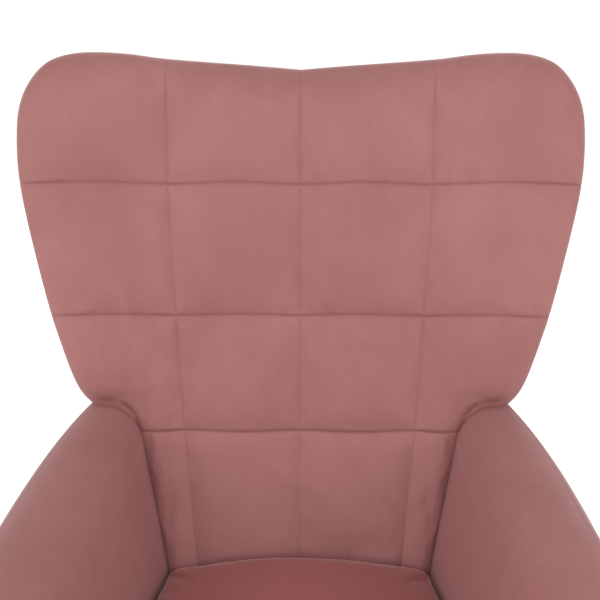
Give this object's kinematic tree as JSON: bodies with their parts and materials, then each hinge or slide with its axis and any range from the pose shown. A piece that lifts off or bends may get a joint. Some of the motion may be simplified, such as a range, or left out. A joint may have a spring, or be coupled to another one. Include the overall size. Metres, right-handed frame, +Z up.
{
  "type": "glider nursery chair",
  "caption": "Upholstered wing-back glider armchair with a stitched grid back, sloping arms and a seat hung on swing arms from a wooden base.",
  "frame": {"origin": "on the floor, under the middle of the chair's bounding box", "axes": "+Z up; the chair faces -Y; +X to the right as seen from in front"},
  "size_m": [0.7228, 0.7618, 1.0429],
  "materials": {
    "oiled_beech": "oiled satin",
    "pine": "planed, unfinished",
    "plywood": "sanded, unfinished",
    "velvet": "short-pile dusty rose velvet over foam",
    "elastic_webbing": "woven",
    "lining_cloth": "non-woven",
    "rubber": "matt",
    "zinc_steel": "zinc plated",
    "bearing_steel": "ground"
  },
  "bodies": {
    "base": {"floor_rail_left": "oiled_beech", "floor_rail_right": "oiled_beech", "base_posts_left": "oiled_beech", "base_posts_right": "oiled_beech", "hanger_rail_left": "oiled_beech", "hanger_rail_right": "oiled_beech", "lower_stretcher_front": "oiled_beech", "lower_stretcher_rear": "oiled_beech", "upper_stretcher_front": "oiled_beech", "upper_stretcher_rear": "oiled_beech", "floor_pads": "rubber", "stretcher_bolts": "zinc_steel", "stretcher_barrel_nuts": "zinc_steel", "swing_stops": "rubber", "hanger_pivot_bolts": "zinc_steel", "hanger_pivot_nuts": "zinc_steel", "hanger_spacers": "zinc_steel"},
    "swing_arm_front_left": {"swing_arm_front_left": "oiled_beech", "swing_bearings_front_left": "bearing_steel"},
    "swing_arm_front_right": {"swing_arm_front_right": "oiled_beech", "swing_bearings_front_right": "bearing_steel"},
    "swing_arm_rear_left": {"swing_arm_rear_left": "oiled_beech", "swing_bearings_rear_left": "bearing_steel"},
    "swing_arm_rear_right": {"swing_arm_rear_right": "oiled_beech", "swing_bearings_rear_right": "bearing_steel"},
    "seat_unit": {"cradle_rail_left": "oiled_beech", "cradle_rail_right": "oiled_beech", "cradle_posts_left": "oiled_beech", "cradle_posts_right": "oiled_beech", "cradle_bearer_front": "oiled_beech", "cradle_bearer_rear": "oiled_beech", "cradle_cross_bars": "oiled_beech", "cradle_pivot_bolts": "zinc_steel", "cradle_pivot_nuts": "zinc_steel", "cradle_spacers": "zinc_steel", "cradle_mounting_bolts": "zinc_steel", "seat_inserts": "zinc_steel", "seat_frame_front": "pine", "seat_frame_rear": "pine", "seat_frame_left": "pine", "seat_frame_right": "pine", "seat_cross_rails": "pine", "corner_blocks": "pine", "webbing_crosswise": "elastic_webbing", "webbing_lengthwise": "elastic_webbing", "seat_cushion": "velvet", "front_apron": "velvet", "dust_cover": "lining_cloth", "arm_board_left": "plywood", "arm_board_right": "plywood", "arm_pad_left": "velvet", "arm_pad_right": "velvet", "arm_bolts": "zinc_steel", "back_posts": "pine", "back_rails": "pine", "back_panel": "plywood", "back_pad": "velvet", "back_cover": "velvet", "back_bolts": "zinc_steel"}
  },
  "joints": [
    {"name": "glide", "type": "hinge", "parent": "base", "child": "swing_arm_front_left", "pos_m": [-0.216, -0.14, 0.229], "axis": [1, 0, 0], "range_deg": [-24, 24]},
    {"name": "swing_front_right", "type": "hinge", "parent": "base", "child": "swing_arm_front_right", "pos_m": [0.216, -0.14, 0.229], "axis": [1, 0, 0], "range_deg": [-24, 24]},
    {"name": "swing_rear_left", "type": "hinge", "parent": "base", "child": "swing_arm_rear_left", "pos_m": [-0.216, 0.16, 0.229], "axis": [1, 0, 0], "range_deg": [-24, 24]},
    {"name": "swing_rear_right", "type": "hinge", "parent": "base", "child": "swing_arm_rear_right", "pos_m": [0.216, 0.16, 0.229], "axis": [1, 0, 0], "range_deg": [-24, 24]},
    {"name": "seat_hang", "type": "hinge", "parent": "swing_arm_front_left", "child": "seat_unit", "pos_m": [-0.216, -0.14, 0.079], "axis": [1, 0, 0], "range_deg": [-24, 24]}
  ],
  "couplings": [
    {"joint": "swing_front_right", "follows": "glide", "ratio": 1},
    {"joint": "swing_rear_left", "follows": "glide", "ratio": 1},
    {"joint": "swing_rear_right", "follows": "glide", "ratio": 1},
    {"joint": "seat_hang", "follows": "glide", "ratio": -1}
  ]
}
